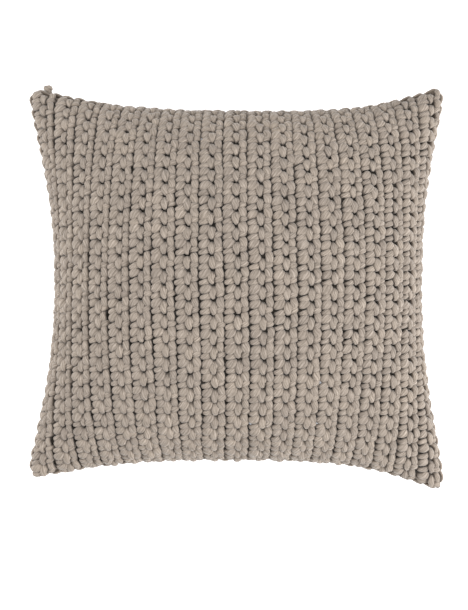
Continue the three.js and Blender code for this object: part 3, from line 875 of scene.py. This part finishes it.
def build_overlocked_edge(thread):
    """The seam allowance wound over by three-thread overlocking."""
    batch = YarnBatch(strands=3, groove=0)
    sides = (("bottom", -1, 1), ("right", -1, 1), ("top", 1, -1), ("left", 1, -1))
    lines = [edge_line(edge, OVERLOCK_INSET, start, end, 121)[0][:-1] for edge, start, end in sides]
    core = np.concatenate(lines + [lines[0][:1]])
    batch.add_round(core, OVERLOCK_CORE, (0, 0, 1))
    steps = lengths_along(core)
    turns = round(steps[-1] / OVERLOCK_PITCH)
    length = np.linspace(0, steps[-1], turns * OVERLOCK_SAMPLES + 1)
    path = np.stack([np.interp(length, steps, core[:, k]) for k in range(3)], axis=-1)
    travel = unit(np.gradient(path, axis=0))
    outward = np.cross(travel, (0, 0, 1))
    turn = np.linspace(0, 2 * math.pi * turns, len(length))[:, None]
    path = path + OVERLOCK_RADIUS * (outward * np.cos(turn) + np.array([0, 0, 1]) * np.sin(turn))
    batch.add_round(path, OVERLOCK_THREAD, travel + 0.01, pitch=THREAD_PITCH)
    place(batch.write("insert_overlocked_edge_threads", thread), "thread", "insert_overlocked_edge")


def dashed_thread(name, points, guide, thread, stitch, replaced):
    """A line of short stitches that dive at both ends. stitch is their radius, length and gap."""
    radius, length, gap = stitch
    batch = YarnBatch(strands=4, groove=0)
    steps = lengths_along(points)
    for start in np.arange(0, steps[-1] - length, length + gap):
        along = start + np.linspace(0, length, DASH_SAMPLES)
        path = np.stack([np.interp(along, steps, points[:, k]) for k in range(3)], axis=-1)
        dive = np.abs(np.linspace(-1, 1, DASH_SAMPLES)[:, None]) ** 4 * radius
        batch.add_round(path - np.asarray(guide) * dive, radius, guide, pitch=THREAD_PITCH)
    place(batch.write(name, thread), "thread", replaced)


def build_closing_stitch(thread):
    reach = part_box("insert_closing_stitch")[1][0] / HALF_WIDTH
    closing, _, _ = edge_line("top", CLOSING_INSET, -reach, reach, 60)
    dashed_thread("insert_closing_stitch_thread", closing, (0, 0, 1), thread, CLOSING_STITCH,
                  "insert_closing_stitch")


# ---- The zip ----

COIL_WIRE = 0.00034  # radius
COIL_PITCH = 0.0014
COIL_SAMPLES = 14  # in a turn
SEWN_STITCH = (0.0003, 0.0028, 0.0008)  # radius, length and gap
SEWN_MARGIN = 0.001  # from the end of the CAD thread to the first stitch
SEWN_SAMPLES = 60
STOP_BEVEL = 0.0003
SLIDER_BEVEL = 0.00015
PULL_BEVEL = 0.00025
TAPE_END_GAP = 0.0003  # between the tapes, and between a stop and a tape's wide end


def build_coil(label, side, nylon):
    """One row of the chain: a nylon spiral, flattened to the row's section."""
    low, high = (np.array(c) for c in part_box(f"zip_coil_{label}"))
    middle = (low + high) / 2
    reach = (high - low) / 2 - COIL_WIRE
    turns = int((high[0] - low[0] - 2 * COIL_WIRE) / COIL_PITCH)
    turn = np.linspace(0, 2 * math.pi * turns, turns * COIL_SAMPLES + 1)
    x = low[0] + COIL_WIRE + turn / (2 * math.pi) * COIL_PITCH
    y = middle[1] + reach[1] * np.sin(turn)
    z = middle[2] - side * reach[2] * np.cos(turn)
    batch = YarnBatch(strands=4, groove=0)
    batch.add_round(np.stack([x, y, z], axis=-1), COIL_WIRE, (1, 0, 0))
    place(batch.write(f"zip_coil_{label}_spiral", nylon), "zip_coil", f"zip_coil_{label}")


def build_stitching(label, thread):
    node_name = f"zip_stitching_{label}"
    low, high = (np.array(c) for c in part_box(node_name))
    middle = (low + high) / 2
    points = np.tile(middle, (SEWN_SAMPLES, 1))
    points[:, 0] = np.linspace(low[0] + SEWN_MARGIN, high[0] - SEWN_MARGIN, SEWN_SAMPLES)
    dashed_thread(f"{node_name}_thread", points, (0, -1, 0), thread, SEWN_STITCH, node_name)


def rounded_copy(name, node_name, bevel, body, material):
    """A CAD metal piece with its edges rounded as a casting's are."""
    piece = bpy.data.objects.new(name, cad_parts[node_name].data.copy())
    bpy.context.scene.collection.objects.link(piece)
    piece.data.materials.clear()
    piece.data.materials.append(material)
    rounding = piece.modifiers.new("Rounding", "BEVEL")
    rounding.width = bevel
    rounding.segments = 3
    rounding.limit_method = "ANGLE"
    rounding.angle_limit = math.radians(40)
    place(piece, "zip_metal", node_name, body=body)


def build_tape(label, side, material):
    """A woven tape. Past the stops it is wider, and the two tapes lie side by side."""
    low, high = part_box(f"zip_tape_{label}")
    near, far = (low[2], high[2]) if side > 0 else (high[2], low[2])
    meeting = SEAM_Z + side * TAPE_END_GAP
    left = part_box("zip_bottom_stop")[0][0] - TAPE_END_GAP
    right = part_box(f"zip_top_stop_{label}")[1][0] + TAPE_END_GAP
    outline = [(low[0], meeting), (left, meeting), (left, near), (right, near), (right, meeting),
               (high[0], meeting), (high[0], far), (low[0], far)][::side]
    count = len(outline)
    vertices = np.array([(x, y, z) for y in (low[1], high[1]) for x, z in outline])
    index = np.arange(count)
    after = np.roll(index, -1)
    walls = np.stack([after, index, index + count, after + count], axis=-1)
    caps = np.stack([index, index[::-1] + count])
    piece = make_mesh(f"zip_tape_{label}_woven", vertices, walls, caps, material=material)
    piece.data.shade_flat()
    place(piece, "zip_tape", f"zip_tape_{label}")


def build_zip(thread, nylon, tape, metal):
    for label, side in (("front", 1), ("back", -1)):
        build_coil(label, side, nylon)
        build_stitching(label, thread)
        build_tape(label, side, tape)
        rounded_copy(f"zip_top_stop_{label}_clip", f"zip_top_stop_{label}", STOP_BEVEL, PILLOW, metal)
    rounded_copy("zip_bottom_stop_clip", "zip_bottom_stop", STOP_BEVEL, PILLOW, metal)
    rounded_copy("zip_slider_casting", "zip_slider", SLIDER_BEVEL, "slider", metal)
    rounded_copy("zip_pull_casting", "zip_pull", PULL_BEVEL, "pull", metal)


# ---- Stage ----

FLOOR_SIZE = 80
FLOOR_DROP = 0.0005  # from the pillow's underside
FLOOR_GLOW = 0.45
WORLD_STRENGTH = 0.5
# Name, place, size and power of each lamp.
LAMPS = (
    ("right", (1.5, -0.5, 1.0), 1.2, 38),
    ("left", (-1.5, 0.3, 1.0), 1.2, 26),
    ("top", (0.1, 0.2, 2.4), 1.0, 12),
)
LAMP_TARGET = (0, 0, 0.08)
LENS = 100
VIEW_HEIGHT = 0.656  # of the camera's view, at the seam plane
VIEW_CENTRE = (-0.0025, -0.0231)


def build_floor():
    material, tree, shader = new_material("floor", (0.9, 0.9, 0.9), 0.9)
    at = object_place(tree)
    grain = noise(tree, at, 3.0)
    color = ramp(tree, grain, [(0.3, (0.88, 0.88, 0.88)), (0.7, (0.92, 0.92, 0.92))])
    tree.links.new(color, shader.inputs["Base Color"])
    shader.inputs["Emission Color"].default_value = (1, 1, 1, 1)
    shader.inputs["Emission Strength"].default_value = FLOOR_GLOW
    bpy.ops.mesh.primitive_plane_add(size=FLOOR_SIZE, location=(0, 0, FLOOR_Z - FLOOR_DROP))
    floor = bpy.context.object
    floor.name = "floor"
    floor.data.materials.append(material)


def add_area_light(name, at, size, power):
    light = bpy.data.lights.new(name, "AREA")
    light.shape = "DISK"
    light.size = size
    light.energy = power
    obj = bpy.data.objects.new(name, light)
    obj.location = at
    obj.rotation_euler = (Vector(LAMP_TARGET) - Vector(at)).to_track_quat("-Z", "Y").to_euler()
    bpy.context.scene.collection.objects.link(obj)


def build_light():
    world = bpy.data.worlds.new("studio")
    world.use_nodes = True
    background = world.node_tree.nodes["Background"]
    background.inputs["Color"].default_value = (1, 1, 1, 1)
    background.inputs["Strength"].default_value = WORLD_STRENGTH
    bpy.context.scene.world = world
    for lamp in LAMPS:
        add_area_light(*lamp)


def build_camera():
    """Straight down on the front, as in a catalogue picture, a little low of the middle."""
    camera = bpy.data.cameras.new("camera")
    camera.lens = LENS
    distance = VIEW_HEIGHT * camera.lens / camera.sensor_width
    obj = bpy.data.objects.new("camera", camera)
    obj.location = (*VIEW_CENTRE, SEAM_Z + distance)
    bpy.context.scene.collection.objects.link(obj)
    bpy.context.scene.camera = obj


def build_insert(front, phase):
    # Painted shade between the fill's lumps: grey towards the edge of each.
    shades = [(0.0, (0.92, 0.92, 0.92)), (0.9, (0.70, 0.71, 0.72))]
    fibre = spotted_material("fill_fibre", 90.0, shades, 1.0, 0.002)
    cloth = woven_material("insert_cotton", (0.80, 0.82, 0.87), (0.52, 0.55, 0.60), 1400, 0.85)
    thread = thread_material("overlock_thread", (0.78, 0.78, 0.78), (0.5, 0.5, 0.52))
    build_fill(fibre)
    build_casing(cloth, front, phase)
    build_overlocked_edge(thread)
    build_closing_stitch(thread)


def build_cover(front, front_phase, rng):
    yarn = yarn_material()
    # The backing's colours are painted shade, near black, for the deep holes between the stitches.
    shades = [(0.0, (0.13, 0.11, 0.09)), (0.8, (0.035, 0.03, 0.024))]
    shade_backing = spotted_material("yarn_painted_shade", 160.0, shades, 0.95, 0.001)
    crochet_panel("cover_front", front, front_phase, yarn, shade_backing, rng)
    back = Surface(back=True, ripple=RIPPLE)
    crochet_panel("cover_back", back, rib_phases(rng), yarn, shade_backing, rng)
    build_joining_chains(yarn, rng)
    opening_edge("cover_front", 1, yarn, rng)
    opening_edge("cover_back", -1, yarn, rng)
    yarn_knot(yarn)


def build():
    rng = np.random.default_rng(SEED)
    front = Surface(ripple=RIPPLE)
    front_phase = rib_phases(rng)
    build_insert(front, front_phase)
    build_cover(front, front_phase, rng)
    thread = thread_material("sewing_thread", (0.56, 0.51, 0.45), (0.32, 0.28, 0.24))
    tape = woven_material("zip_tape_weave", (0.36, 0.31, 0.26), (0.20, 0.17, 0.14), 1600, 0.8)
    build_zip(thread, nylon_material(), tape, metal_material())


bpy.context.scene.view_settings.view_transform = "Standard"
build_camera()
build_light()
build_floor()
build()
